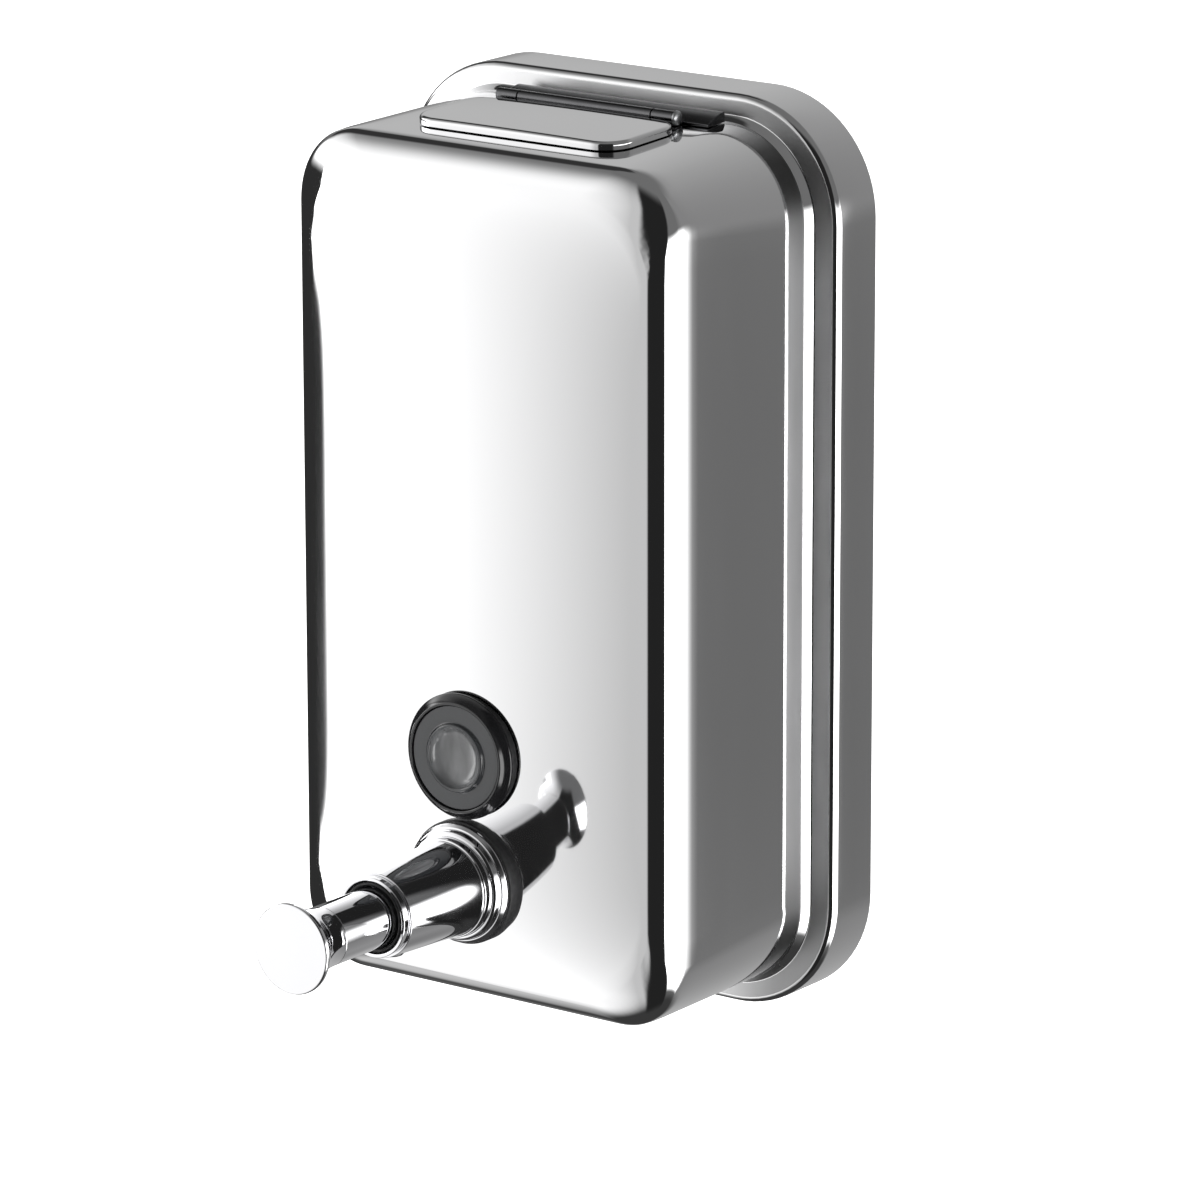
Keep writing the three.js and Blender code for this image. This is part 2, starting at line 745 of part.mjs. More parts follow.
const sightSealRing = innerSeat(sightFrame, sightHole, sightNutFlat, innerSealRear);
place("sight_seal", sightSealRing, "blackRubber", sightFrame);
const sightWasherRing = ring(sightHole, sightNutFlat, sightWasherRear, innerSealRear);
place("sight_washer", sightWasherRing, "whitePlastic", sightFrame);
const sightNut = hexNut(sightNutFlat, sightHole, sightWasherRear - sightNutHeight, sightWasherRear);
place("sight_nut", sightNut, "blackPlastic", sightFrame);

// ---- Push valve: what is fixed
const sealFront = tankDepth + valveSeal;
const flangeFront = sealFront + flangeThickness;
const stepFront = flangeFront + stepLength;
const neckFront = stepFront + neckLength;
const coneFront = neckFront + coneLength;
const lipFront = coneFront + noseLip;
const shankRear = tankDepth - shankReach;
const shankHole = shankRadius + shankPlay;
const stemBore = stemRadius + runningPlay;
const noseLipRadius = coneFrontRadius - noseSetIn;
const pocketRadius = noseLipRadius - noseWall;
const pocketFloor = lipFront - pocketDepth;
const spigotRadius = valveBore - runningPlay;
const washerRadius = valveSealRadius - washerSetIn;
const washerRear = innerSealRear - washerThickness;
const nozzleDepth = coneFront - nozzleSetback;

const valveGasket = outerSeat(valveFrame, shankHole, valveSealRadius, sealFront);
place("valve_gasket", valveGasket, "blackRubber", valveFrame);

// A cutter or plug square to the valve's axis, pointing down out of the cone.
function downwards(radius, from, to) {
  return new THREE.CylinderGeometry(radius, radius, to - from, smallSides)
    .rotateX(Math.PI / 2)
    .translate(0, nozzleDepth, (from + to) / 2);
}
const coneAtNozzle = coneFrontRadius + (coneTaper * nozzleSetback) / coneLength;
const belowCone = 2 * coneRearRadius;

const bodyProfile = [
  [valveBore, shankRear],
  [shankRadius, shankRear],
  [shankRadius, sealFront],
  [flangeRadius, sealFront],
  [flangeRadius, flangeFront],
  [stepRadius, flangeFront],
  [stepRadius, stepFront],
  [neckRadius, stepFront],
  [neckRadius, neckFront],
  [coneRearRadius, neckFront],
  [coneFrontRadius, coneFront],
  [valveBore, coneFront],
  [valveBore, shankRear],
];
const nozzleSocket = downwards(nozzleRadius + runningPlay, 0, belowCone);
place("valve_body", cut(turned(bodyProfile), nozzleSocket), "chrome", valveFrame);

const nozzlePlug = downwards(nozzleRadius, valveBore + restGap, coneAtNozzle + nozzleProud);
const outletNozzle = cut(nozzlePlug, downwards(nozzleHole, 0, belowCone));
place("outlet_nozzle", outletNozzle, "blackPlastic", valveFrame);

const bushProfile = [
  [stemBore, coneFront - noseSpigot],
  [spigotRadius, coneFront - noseSpigot],
  [spigotRadius, coneFront],
  [noseLipRadius, coneFront],
  [noseLipRadius, lipFront],
  [pocketRadius, lipFront],
  [pocketRadius, pocketFloor],
  [stemBore, pocketFloor],
  [stemBore, coneFront - noseSpigot],
];
place("nose_bush", turned(bushProfile), "chrome", valveFrame);
const wiper = ring(stemBore, pocketRadius - runningPlay, pocketFloor, pocketFloor + wiperThickness);
place("wiper_seal", wiper, "blackRubber", valveFrame);

const valveInnerSeal = innerSeat(valveFrame, shankHole, washerRadius, innerSealRear);
place("valve_inner_seal", valveInnerSeal, "blackRubber", valveFrame);
place("valve_washer", ring(shankHole, washerRadius, washerRear, innerSealRear), "plainSteel", valveFrame);
const valveNut = hexNut(shankHole + nutWall, shankHole, washerRear - nutHeight, washerRear);
place("valve_nut", valveNut, "plainSteel", valveFrame);

// ---- Push valve: what moves
const stemRear = coneFront - noseSpigot - restGap - shoulderLength; // its shoulder stops at the bush
const shoulderRadius = valveBore - shoulderPlay;
const stemFront = lipFront + stemVisible;
const buttonFront = stemFront + buttonLength;
const rodBore = rodRadius + runningPlay;
const cylinderOuter = valveBore - runningPlay;
const cylinderBore = cylinderOuter - cylinderWall;
const cylinderHead = tankDepth + cylinderFront;
const cylinderHeadRear = cylinderHead - cylinderFrontWall;
const pistonRadius = cylinderBore - pistonPlay;
const pistonFront = cylinderHeadRear - pistonSetback;
const pistonRear = pistonFront - pistonLength;
const grooveFront = (pistonFront + pistonRear + ringGroove) / 2;
const grooveRear = grooveFront - ringGroove;
const grooveRadius = pistonRadius - ringGrooveDepth;

const sleeveProfile = [
  [rodBore, stemRear],
  [shoulderRadius, stemRear],
  [shoulderRadius, stemRear + shoulderLength],
  [stemRadius, stemRear + shoulderLength],
  [stemRadius, stemFront],
  [rodBore, stemFront],
  [rodBore, stemRear],
];
place("plunger_sleeve", turned(sleeveProfile), "chrome", valveFrame);

function buttonProfile() {
  const rimRear = buttonFront - buttonRim;
  const start = new THREE.Vector2(stemRadius, stemFront);
  const pull = new THREE.Vector2(stemRadius, (stemFront + rimRear) / 2 + buttonRim);
  const end = new THREE.Vector2(buttonRadius, rimRear);
  const flare = new THREE.QuadraticBezierCurve(start, pull, end).getPoints(flareSteps);
  return [
    [0, stemFront + rodIntoButton],
    [rodBore, stemFront + rodIntoButton],
    [rodBore, stemFront],
    ...flare.map((point) => [point.x, point.y]),
    [buttonRadius, buttonFront - buttonRim / 4],
    [buttonRadius - buttonRim / 4, buttonFront],
    [0, buttonFront],
  ];
}
place("push_button", turned(buttonProfile()), "chrome", valveFrame);

const rodFront = stemFront + rodIntoButton - restGap;
place("plunger_rod", disc(rodRadius, pistonFront, rodFront, smallSides), "plainSteel", valveFrame);

const pistonProfile = [
  [0, pistonRear],
  [pistonRadius, pistonRear],
  [pistonRadius, grooveRear],
  [grooveRadius, grooveRear],
  [grooveRadius, grooveFront],
  [pistonRadius, grooveFront],
  [pistonRadius, pistonFront],
  [0, pistonFront],
];
place("piston", turned(pistonProfile), "whitePlastic", valveFrame);
const pistonRing = ring(
  grooveRadius + runningPlay,
  cylinderBore - ringPlay,
  grooveRear + runningPlay,
  grooveFront - runningPlay,
);
place("piston_ring", pistonRing, "blackRubber", valveFrame);

// ---- Pump behind the valve
const cylinderRear = pistonRear - strokeLength - pistonRearRoom;
const cylinderProfile = [
  [cylinderBore, cylinderRear],
  [cylinderOuter, cylinderRear],
  [cylinderOuter, cylinderHead],
  [rodBore, cylinderHead],
  [rodBore, cylinderHeadRear],
  [cylinderBore, cylinderHeadRear],
  [cylinderBore, cylinderRear],
];
place("pump_cylinder", turned(cylinderProfile), "whitePlastic", valveFrame);

// The spring sits round the rod, midway between it and the valve's bore.
const springRadius = (rodRadius + valveBore) / 2; // to the middle of the wire

class SpringPath extends THREE.Curve {
  getPoint(share) {
    const angle = 2 * Math.PI * springTurns * share;
    const from = cylinderHead + springWire / 2 + restGap;
    const to = stemRear - springWire / 2 - restGap;
    return new THREE.Vector3(
      springRadius * Math.cos(angle),
      THREE.MathUtils.lerp(from, to, share),
      springRadius * Math.sin(angle),
    );
  }
}
const wireSection = new THREE.Shape();
wireSection.absarc(0, 0, springWire / 2, 0, 2 * Math.PI, false);
place(
  "return_spring",
  new THREE.ExtrudeGeometry(wireSection, {
    extrudePath: new SpringPath(),
    steps: springTurns * springSteps,
    curveSegments: wireSides,
  }),
  "plainSteel",
  valveFrame,
);

// The elbow closes the cylinder's rear, holds the ball over its seat and takes the pick-up tube.
const elbowAxis = cylinderRear - elbowCap - elbowBossLength - elbowRadius;
const ballChamber = ballRadius + ballPlay;
const tankFloor = tankTopAt(elbowAxis) - sheet;
const tubeTop = valveZ - elbowDrop + tubeSocket;
const tubeBottom = tubeFloorGap - tankFloor;

function upright(radius, from, to) {
  return new THREE.CylinderGeometry(radius, radius, to - from, smallSides)
    .rotateX(Math.PI / 2)
    .translate(0, elbowAxis, -(from + to) / 2);
}

function inletElbow() {
  const body = join(
    disc(cylinderOuter, cylinderRear - elbowCap, cylinderRear),
    disc(cylinderBore - runningPlay, cylinderRear - restGap, cylinderRear + elbowCap),
    disc(elbowBossRadius, elbowAxis, cylinderRear - elbowCap / 2),
    upright(elbowRadius, -elbowDrop, elbowTop),
  );
  return cut(
    body,
    disc(portRadius, elbowAxis, cylinderRear + 2 * elbowCap, smallSides),
    upright(ballChamber, -seatDrop, elbowTop - elbowCap),
    upright(seatRadius, -2 * elbowDrop, 0),
    upright(tubeRadius + runningPlay, -2 * elbowDrop, tubeSocket - elbowDrop + restGap),
  );
}
place("inlet_elbow", inletElbow(), "whitePlastic", valveFrame);

const ballSphere = new THREE.SphereGeometry(ballRadius, smallSides, smallSides / 2);
const ball = place("check_ball", ballSphere, "plainSteel");
const ballSit = Math.sqrt(ballRadius ** 2 - seatRadius ** 2) + restGap;
ball.position.set(0, -elbowAxis, valveZ - seatDrop + ballSit);

const tubeLength = tubeTop - tubeBottom;
const pickUp = new THREE.CylinderGeometry(tubeRadius, tubeRadius, tubeLength, smallSides);
const pickUpBore = new THREE.CylinderGeometry(tubeBore, tubeBore, tubeLength + 2, smallSides);
const tube = place("suction_tube", cut(pickUp, pickUpBore), "whitePlastic");
tube.rotation.x = Math.PI / 2;
tube.position.set(0, -elbowAxis, (tubeTop + tubeBottom) / 2);

export default dispenser;
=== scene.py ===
import json
from math import atan, cos, pi, radians, sin, tan

import bmesh
import bpy
from mathutils import Matrix, Vector

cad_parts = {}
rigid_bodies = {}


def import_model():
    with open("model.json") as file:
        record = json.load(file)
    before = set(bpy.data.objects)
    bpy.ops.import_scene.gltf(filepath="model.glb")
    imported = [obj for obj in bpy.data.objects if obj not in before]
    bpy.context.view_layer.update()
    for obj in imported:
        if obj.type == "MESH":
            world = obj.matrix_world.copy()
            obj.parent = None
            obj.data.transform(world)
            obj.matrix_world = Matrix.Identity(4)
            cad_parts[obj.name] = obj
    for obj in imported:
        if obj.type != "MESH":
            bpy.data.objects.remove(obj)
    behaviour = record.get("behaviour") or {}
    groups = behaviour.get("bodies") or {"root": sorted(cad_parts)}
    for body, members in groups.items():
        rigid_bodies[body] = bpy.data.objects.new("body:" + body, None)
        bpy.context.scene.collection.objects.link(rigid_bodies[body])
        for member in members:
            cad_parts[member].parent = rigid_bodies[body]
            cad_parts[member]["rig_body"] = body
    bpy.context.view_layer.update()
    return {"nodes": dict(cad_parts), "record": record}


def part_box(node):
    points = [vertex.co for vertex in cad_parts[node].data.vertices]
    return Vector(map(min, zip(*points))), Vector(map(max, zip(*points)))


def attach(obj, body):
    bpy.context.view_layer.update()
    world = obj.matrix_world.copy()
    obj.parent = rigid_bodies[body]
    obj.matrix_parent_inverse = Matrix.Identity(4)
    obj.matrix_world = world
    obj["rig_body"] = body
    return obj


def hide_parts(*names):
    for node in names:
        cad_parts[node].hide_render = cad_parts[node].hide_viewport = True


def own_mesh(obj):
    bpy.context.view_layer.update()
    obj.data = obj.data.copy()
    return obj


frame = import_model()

MM = 0.001
NOISE_BAND = (0.3, 0.7)  # noise mostly lies between these

# ---- Sizes: the pressed tank
SHEET = 1 * MM
CROWN_RISE = 5 * MM  # of the front face above its rim
END_POWER = 8
EDGE_DEPTH = 10.2 * MM  # from the highest point back to where the front edge starts to round
EDGE_INSET = 5.5 * MM
END_INSET = 7.2 * MM
EASE = 0.16 * MM  # the sides start to turn this much before the rounded edge
EASE_LENGTH = 4.5 * MM
EASE_TURN = radians(6)
EDGE_TURN = radians(76)
SIDE_NARROWING = 0.7 * MM
END_NARROWING = 1.7 * MM
REAR_CORNER = 20.5 * MM
FRONT_CORNER = 15 * MM
FACE_CORNER = 18 * MM
FOOT_REACH = 1.5 * MM
FOOT_RISE = 2.4 * MM
# the foot flares straight out to the pan between two small rounds: (outwards, in front of the pan) in mm
FOOT_CURVE = [(1.5, 0), (1.37, 0.02), (1.25, 0.08), (1.15, 0.2), (0.14, 1.65), (0.05, 1.85), (0.01, 2.1)]
PAN_CORNER = 26.8 * MM
PAN_EDGE = 1.8 * MM
CORNER_STEPS = 18
LONG_STEPS = 28
SHORT_STEPS = 16
FACE_RINGS = 34

# ---- Sizes: the lid and its hinge
HINGE_DEPTH = 26 * MM
HINGE_HEIGHT = 2.1 * MM
BARREL_RADIUS = 1.45 * MM
PIN_RADIUS = 1 * MM
PIN_HEAD_RADIUS = 1.6 * MM
HALF_BARREL = 18 * MM
KNUCKLES = (18.3 * MM, 24 * MM)  # where the fixed knuckles start and end, each side of the middle
STRIP_DROP = 0.6 * MM  # of the lid's hinge strip below its top
LEAF_FRONT = 2.1 * MM
LEAF_DEPTH = 6.5 * MM
LEAF_THIN = 0.6 * MM
LEAF_THICK = 2.3 * MM
LID_SHEET = 0.9 * MM
LID_HEIGHT = 2.4 * MM
LID_CORNER = 6.5 * MM
LID_ROLL = 1.0 * MM  # how far in from its edge the lid starts to roll over
LID_FALL = 0.9 * MM
LID_CROWN = 0.35 * MM
LID_LIFT = 0.3 * MM
MOUTH_SIDE = 4 * MM
MOUTH_END = 3.2 * MM
MOUTH_CORNER = 4 * MM
PLAY = 0.08 * MM


def lowest(node):
    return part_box(node)[0]


def highest(node):
    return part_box(node)[1]


def middle(node):
    low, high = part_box(node)
    return (low + high) / 2


# ---- Places worked out from the CAD nodes
PAN_DEPTH = -lowest("back_pan").y
TANK_DEPTH = -lowest("front_shell").y
HALF_TANK_X = highest("front_shell").x - FOOT_REACH
HALF_TANK_Z = highest("front_shell").z - FOOT_REACH
HALF_PAN_X = highest("back_pan").x
HALF_PAN_Z = highest("back_pan").z
EDGE_START = TANK_DEPTH - EDGE_DEPTH
HALF_EDGE = (HALF_TANK_X - SIDE_NARROWING, HALF_TANK_Z - END_NARROWING)
HALF_FACE = (HALF_EDGE[0] - EDGE_INSET, HALF_EDGE[1] - END_INSET)
TOP_SLOPE = atan(END_NARROWING / (EDGE_START - PAN_DEPTH))
VALVE_Z = middle("valve_body").z
SIGHT_Z = middle("sight_bezel").z
LID_HALF_X = highest("lid").x


def tank_top(depth):
    return HALF_TANK_Z - (depth - PAN_DEPTH) * tan(TOP_SLOPE)


# ---- Where a look changes
WINDOW_RADIUS = 6.9 * MM  # of the sight glass, where the soap shows
PAINTED_SHADE_ACROSS = (20 * MM, 46 * MM)  # painted shade darkens the pan's front between these distances from the middle
PAINTED_SHADE_ALONG = (62 * MM, 88 * MM)


# ---- Node materials
def mix(a, b, share):
    return a + (b - a) * share


class Network:
    """The shader nodes of one material, added by short calls."""

    def __init__(self, name):
        self.material = bpy.data.materials.new(name)
        self.material.use_nodes = True
        self.nodes = self.material.node_tree.nodes
        self.links = self.material.node_tree.links
        self.place = self.nodes.new("ShaderNodeTexCoord").outputs["Object"]

    def plug(self, socket, value):
        if isinstance(value, (int, float)):
            socket.default_value = value
        else:
            self.links.new(value, socket)

    def split(self, vector):
        node = self.nodes.new("ShaderNodeSeparateXYZ")
        self.links.new(vector, node.inputs[0])
        return node.outputs

    def math(self, operation, a, b=0.0):
        node = self.nodes.new("ShaderNodeMath")
        node.operation = operation
        self.plug(node.inputs[0], a)
        self.plug(node.inputs[1], b)
        return node.outputs[0]

    def ramp(self, value, start, end, low=0.0, high=1.0, kind="SMOOTHSTEP"):
        node = self.nodes.new("ShaderNodeMapRange")
        node.interpolation_type = kind
        self.plug(node.inputs["Value"], value)
        node.inputs["From Min"].default_value = start
        node.inputs["From Max"].default_value = end
        node.inputs["To Min"].default_value = low
        node.inputs["To Max"].default_value = high
        return node.outputs["Result"]


class Surface(Network):
    """A Principled material whose colour, roughness and relief vary over the piece by noise."""

    def __init__(self, name, colour, roughness, metallic=0.0):
        super().__init__(name)
        self.shader = self.nodes["Principled BSDF"]
        self.shader.inputs["Metallic"].default_value = metallic
        self.colour = colour
        self.roughness = roughness

    def noise(self, scale, detail=3.0, stretch=(1, 1, 1)):
        mapping = self.nodes.new("ShaderNodeMapping")
        mapping.inputs["Scale"].default_value = stretch
        texture = self.nodes.new("ShaderNodeTexNoise")
        texture.inputs["Scale"].default_value = scale
        texture.inputs["Detail"].default_value = detail
        self.links.new(self.place, mapping.inputs["Vector"])
        self.links.new(mapping.outputs["Vector"], texture.inputs["Vector"])
        return texture.outputs["Fac"]

    def shade(self, pattern, spread):
        ramp = self.nodes.new("ShaderNodeValToRGB")
        dark = [channel * (1 - spread) for channel in self.colour]
        for element, at, tone in zip(ramp.color_ramp.elements, NOISE_BAND, (dark, self.colour)):
            element.position = at
            element.color = (*tone, 1)
        self.links.new(pattern, ramp.inputs["Fac"])
        self.links.new(ramp.outputs["Color"], self.shader.inputs["Base Color"])

    def brushed_front_with_painted_shade(self, roughness, shine, painted_shade):
        """Polished all over, but brushed on the pan's flat front, with painted shade darkening its colour
        there at its right corners.
        """
        x, y, z = self.split(self.place)
        front = self.ramp(y, 0.06 * MM - PAN_DEPTH, 0.02 * MM - PAN_DEPTH, kind="LINEAR")
        grain = self.ramp(self.noise(300, 4, (1, 1, 0.1)), *NOISE_BAND, 0.94, 1.06, "LINEAR")
        rough = self.ramp(front, 0, 1, self.roughness, roughness, "LINEAR")
        self.plug(self.shader.inputs["Roughness"], self.math("MULTIPLY", rough, grain))
        # mask of the painted shade: the pan's front, fading in towards its right corners
        corner = self.math("MULTIPLY", self.ramp(x, *PAINTED_SHADE_ACROSS), front)
        corner = self.math("MULTIPLY", corner, self.ramp(self.math("ABSOLUTE", z), *PAINTED_SHADE_ALONG))
        even = self.ramp(front, 0, 1, 1, shine, "LINEAR")
        painted_shade_factor = self.ramp(corner, 0, 1, 1, painted_shade, "LINEAR")
        scale = self.nodes.new("ShaderNodeVectorMath")
        scale.operation = "SCALE"
        self.plug(scale.inputs["Scale"], self.math("MULTIPLY", even, painted_shade_factor))
        colour = self.shader.inputs["Base Color"]
        self.plug(scale.inputs[0], colour.links[0].from_socket)
        self.plug(colour, scale.outputs["Vector"])

    def window(self, radius, inside, outside):
        """Pale and cloudy inside a radius about the sight glass's axis, dark outside it."""
        centre = self.nodes.new("ShaderNodeVectorMath")
        centre.operation = "SUBTRACT"
        centre.inputs[1].default_value = (0, 0, SIGHT_Z)
        flat = self.nodes.new("ShaderNodeVectorMath")
        flat.operation = "MULTIPLY"
        flat.inputs[1].default_value = (1, 0, 1)
        length = self.nodes.new("ShaderNodeVectorMath")
        length.operation = "LENGTH"
        self.links.new(self.place, centre.inputs[0])
        self.links.new(centre.outputs["Vector"], flat.inputs[0])
        self.links.new(flat.outputs["Vector"], length.inputs[0])
        edge = self.ramp(length.outputs["Value"], radius * 0.94, radius * 1.04)
        cloud = self.nodes.new("ShaderNodeValToRGB")
        thick = [channel * 0.55 for channel in inside]
        for element, at, tone in zip(cloud.color_ramp.elements, (0.35, 0.65), (thick, inside)):
            element.position = at
            element.color = (*tone, 1)
        self.links.new(self.noise(260, 2, (1, 1, 0.3)), cloud.inputs["Fac"])
        blend = self.nodes.new("ShaderNodeMix")
        blend.data_type = "RGBA"
        blend.inputs["B"].default_value = (*outside, 1)
        self.links.new(edge, blend.inputs["Factor"])
        self.links.new(cloud.outputs["Color"], blend.inputs["A"])
        self.links.new(blend.outputs["Result"], self.shader.inputs["Base Color"])

    def gloss(self, pattern, spread):
        low, high = self.roughness * (1 - spread), self.roughness * (1 + spread)
        self.plug(self.shader.inputs["Roughness"], self.ramp(pattern, *NOISE_BAND, low, high, "LINEAR"))

    def relief(self, pattern, height):
        bump = self.nodes.new("ShaderNodeBump")
        bump.inputs["Strength"].default_value = 1.0
        bump.inputs["Distance"].default_value = height
        self.links.new(pattern, bump.inputs["Height"])
        self.links.new(bump.outputs["Normal"], self.shader.inputs["Normal"])


def mirror_steel():
    surface = Surface("mirror_steel", (0.86, 0.86, 0.865), 0.04, metallic=1.0)
    surface.shade(surface.noise(9, 2), 0.02)
    surface.gloss(surface.noise(60, 5, (1, 1, 0.15)), 0.4)
    surface.relief(surface.noise(14, 1), 0.03 * MM)
    return surface.material


def pressed_steel():
    surface = Surface("pressed_steel", (0.84, 0.84, 0.845), 0.06, metallic=1.0)
    surface.shade(surface.noise(20, 2), 0.03)
    # brushed on the pan's front, with painted shade darkening its right corners
    surface.brushed_front_with_painted_shade(0.38, 0.92, 0.4)
    surface.relief(surface.noise(12, 1), 0.01 * MM)
    return surface.material


# Dark steel: its dark colour is painted shade, used on the lid's rolled strip and the hinge leaf to stand
# for the shade in the hinge gap behind the lid.
def dark_steel():
    surface = Surface("dark_steel", (0.16, 0.16, 0.165), 0.22, metallic=1.0)
    surface.shade(surface.noise(150, 3), 0.15)
    surface.gloss(surface.noise(400, 4, (0.1, 1, 1)), 0.3)
    surface.relief(surface.noise(900, 2, (0.1, 1, 1)), 0.003 * MM)
    return surface.material


def mill_steel():
    surface = Surface("mill_steel", (0.55, 0.56, 0.57), 0.32, metallic=1.0)
    surface.shade(surface.noise(60, 3), 0.06)
    surface.gloss(surface.noise(1500, 3, (0.04, 1, 1)), 0.15)
    surface.relief(surface.noise(2500, 2, (0.03, 1, 1)), 0.001 * MM)
    return surface.material


def bright_chrome():
    surface = Surface("bright_chrome", (0.86, 0.86, 0.875), 0.03, metallic=1.0)
    surface.shade(surface.noise(60, 2), 0.02)
    surface.gloss(surface.noise(250, 4), 0.4)
    surface.relief(surface.noise(90, 2), 0.002 * MM)
    return surface.material


def black_rubber():
    surface = Surface("black_rubber", (0.018, 0.018, 0.019), 0.55)
    surface.shade(surface.noise(400, 4), 0.35)
    surface.gloss(surface.noise(700, 3), 0.2)
    surface.relief(surface.noise(2500, 3), 0.02 * MM)
    return surface.material


def black_plastic():
    surface = Surface("black_plastic", (0.012, 0.012, 0.013), 0.09)
    surface.shader.inputs["IOR"].default_value = 1.6
    surface.shade(surface.noise(200, 3), 0.3)
    surface.gloss(surface.noise(500, 4), 0.3)
    surface.relief(surface.noise(600, 2), 0.002 * MM)
    return surface.material


def smoked_plastic():
    surface = Surface("smoked_plastic", (0.16, 0.165, 0.17), 0.1)
    surface.shader.inputs["Transmission Weight"].default_value = 0.1
    surface.shader.inputs["IOR"].default_value = 1.6
    surface.window(WINDOW_RADIUS, (0.30, 0.305, 0.31), (0.045, 0.047, 0.05))
    surface.gloss(surface.noise(300, 4), 0.3)
    surface.relief(surface.noise(200, 2), 0.004 * MM)
    return surface.material


def white_plastic():
    surface = Surface("white_plastic", (0.78, 0.77, 0.74), 0.4)
    surface.shade(surface.noise(80, 3), 0.05)
    surface.gloss(surface.noise(500, 4), 0.2)
    surface.relief(surface.noise(1500, 3), 0.006 * MM)
    return surface.material


FINISH = {
    "polished_steel": mirror_steel(),
    "pressed_steel": pressed_steel(),
    "dark_steel": dark_steel(),
    "plain_steel": mill_steel(),
    "chrome": bright_chrome(),
    "black_rubber": black_rubber(),
    "black_plastic": black_plastic(),
    "smoked_plastic": smoked_plastic(),
    "white_plastic": white_plastic(),
}
SLOT_OF = {row["node"]: row["material_slot"] for row in frame["record"]["subparts"]}
for node_name, node in frame["nodes"].items():
    node.data.materials.clear()
    node.data.materials.append(FINISH[SLOT_OF[node_name]])


# ---- Making and keeping a piece
def piece_from(bm, name, node, look=None, sharp=radians(32)):
    """The finished bmesh as an object that stands for a CAD node and rides with its body."""
    bmesh.ops.remove_doubles(bm, verts=bm.verts, dist=1e-7)
    bmesh.ops.recalc_face_normals(bm, faces=bm.faces)
    mesh = bpy.data.meshes.new(name)
    bm.to_mesh(mesh)
    bm.free()
    mesh.materials.append(FINISH[look or SLOT_OF[node]])
    mesh.shade_smooth()
    mesh.set_sharp_from_angle(angle=sharp)
    piece = bpy.data.objects.new(name, mesh)
    bpy.context.scene.collection.objects.link(piece)
    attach(piece, frame["nodes"][node]["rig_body"])
    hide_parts(node)
    return piece


def soften(piece, width, segments=3, angle=radians(32)):
    bevel = piece.modifiers.new("edges", "BEVEL")
    bevel.width = width
    bevel.segments = segments
    bevel.limit_method = "ANGLE"
    bevel.angle_limit = angle
    bevel.harden_normals = False
    return piece


def combine(bm, other, operation):
    """bm joined with, or cut by, another closed bmesh. Both are used up, and a new bmesh comes back."""
    made = []
    for shape in (bm, other):
        bmesh.ops.remove_doubles(shape, verts=shape.verts, dist=1e-7)
        bmesh.ops.recalc_face_normals(shape, faces=shape.faces)
        mesh = bpy.data.meshes.new("shape")
        shape.to_mesh(mesh)
        shape.free()
        holder = bpy.data.objects.new("shape", mesh)
        bpy.context.scene.collection.objects.link(holder)
        made.append(holder)
    tool = made[0].modifiers.new("combine", "BOOLEAN")
    tool.operation = operation
    tool.solver = "EXACT"
    tool.object = made[1]
    whole = bmesh.new()
    whole.from_object(made[0], bpy.context.evaluated_depsgraph_get())
    for holder in made:
        bpy.data.meshes.remove(holder.data)
    return whole


# ---- Pressings
def outline(half, corner, depth_at):
    """One closed outline, anticlockwise from the front: a rectangle with round corners, at a depth."""
    reach = (half[0] - corner, half[1] - corner)
    centres = [(1, 1, 0), (-1, 1, pi / 2), (-1, -1, pi), (1, -1, 1.5 * pi)]
    steps = [SHORT_STEPS, LONG_STEPS, SHORT_STEPS, LONG_STEPS]
    places = []
    for index, (side, end, start) in enumerate(centres):
        for step in range(CORNER_STEPS + 1):
            angle = start + step / CORNER_STEPS * pi / 2
            across = side * reach[0] + corner * cos(angle)
            places.append((across, end * reach[1] + corner * sin(angle)))
        next_side, next_end, next_start = centres[(index + 1) % len(centres)]
        begin = places[-1]
        arrive = (
            next_side * reach[0] + corner * cos(next_start),
            next_end * reach[1] + corner * sin(next_start),
        )
        for step in range(1, steps[index]):
            share = step / steps[index]
            places.append((mix(begin[0], arrive[0], share), mix(begin[1], arrive[1], share)))
    return [Vector((x, -depth_at(x, z), z)) for x, z in places]


def pressing(sections):
    """A closed sheet pressing, drawn out ring by ring; its first and last rings close to a point."""
    bm = bmesh.new()
    bmesh.ops.create_circle(bm, cap_ends=False, radius=1, segments=len(sections[0]))
    bm.verts.ensure_lookup_table()
    ring = [bm.verts[0]]
    while len(ring) < len(sections[0]):
        ahead = [edge.other_vert(ring[-1]) for edge in ring[-1].link_edges]
        ring.append(next(vert for vert in ahead if vert not in ring[-2:]))
    for vert, place in zip(ring, sections[0]):
        vert.co = place
    for section in sections[1:]:
        edges = [bm.edges.get((a, b)) for a, b in zip(ring, ring[1:] + ring[:1])]
        drawn = bmesh.ops.extrude_edge_only(bm, edges=edges)["geom"]
        fresh = {item for item in drawn if isinstance(item, bmesh.types.BMVert)}
        ring = [next(e.other_vert(v) for e in v.link_edges if e.other_vert(v) in fresh) for v in ring]
        for vert, place in zip(ring, section):
            vert.co = place
    return bm


def inset(half, by):
    """Half sizes made smaller by the same amount on every side."""
    return (half[0] - by, half[1] - by)


def level(depth):
    return lambda x, z: depth


